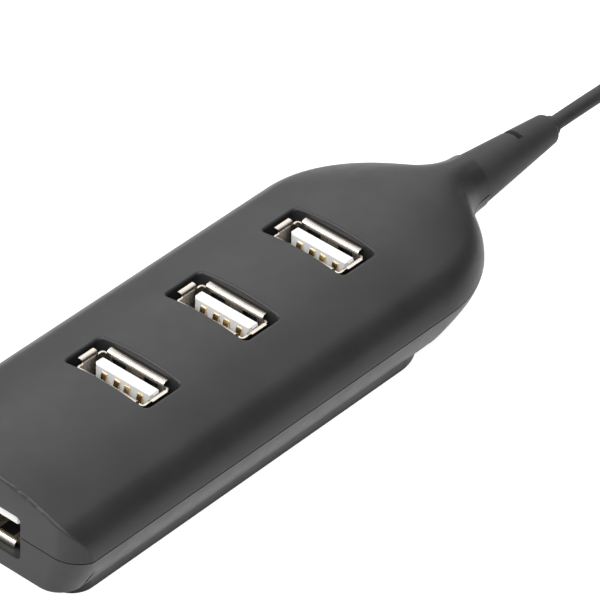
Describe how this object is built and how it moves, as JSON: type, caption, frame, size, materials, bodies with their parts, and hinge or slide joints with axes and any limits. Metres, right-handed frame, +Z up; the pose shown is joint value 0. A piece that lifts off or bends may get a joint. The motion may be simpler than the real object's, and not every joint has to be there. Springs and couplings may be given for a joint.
{
  "type": "usb hub",
  "caption": "Slim power-strip-shaped USB hub: upright ports along the top, one port in the near end, and a captive cord with its plug at the tapered far end.",
  "frame": {"origin": "under the middle of the hub on the table, strain relief included and cord left out", "axes": "+X along the hub from the end port towards the cord, +Y across it, +Z up"},
  "size_m": [0.2141, 0.0459, 0.0174],
  "materials": {
    "housing_black": "satin moulded ABS, fine spark texture",
    "port_shell_tin": "bright tin-plated sheet steel",
    "port_insulator_white": "semi-matte white moulded plastic",
    "contact_gold": "gold-plated brass",
    "board_green": "solder mask over copper tracks",
    "solder_grey": "bright soldered tin",
    "chip_black": "moulded epoxy",
    "can_steel": "drawn steel can",
    "can_aluminium": "bare aluminium can",
    "ceramic_tan": "sintered ceramic",
    "screw_black": "black zinc plate",
    "wire_red": "smooth PVC",
    "wire_white": "smooth PVC",
    "wire_green": "smooth PVC",
    "wire_black": "smooth PVC",
    "cord_black": "satin soft PVC",
    "tie_black": "plastic-coated wire tie"
  },
  "bodies": {
    "root": {"top_housing": "housing_black", "bottom_housing": "housing_black", "case_screws": "screw_black", "circuit_board": "board_green", "solder_joints": "solder_grey", "hub_controller": "chip_black", "hub_controller_leads": "solder_grey", "crystal": "can_steel", "bulk_capacitor": "can_aluminium", "chip_capacitors": "ceramic_tan", "chip_resistors": "chip_black", "wire_power": "wire_red", "wire_data_minus": "wire_white", "wire_data_plus": "wire_green", "wire_ground": "wire_black", "strain_relief": "cord_black", "cord_tube": "cord_black", "cord_coil": "cord_black", "cord_tie": "tie_black", "cord_tail": "cord_black", "plug_moulding": "cord_black", "plug_shell": "port_shell_tin", "plug_insulator": "port_insulator_white", "plug_contacts": "contact_gold", "port_1_shell": "port_shell_tin", "port_1_insulator": "port_insulator_white", "port_1_contacts": "contact_gold", "port_2_shell": "port_shell_tin", "port_2_insulator": "port_insulator_white", "port_2_contacts": "contact_gold", "port_3_shell": "port_shell_tin", "port_3_insulator": "port_insulator_white", "port_3_contacts": "contact_gold", "port_end_shell": "port_shell_tin", "port_end_insulator": "port_insulator_white", "port_end_contacts": "contact_gold"}
  },
  "joints": []
}
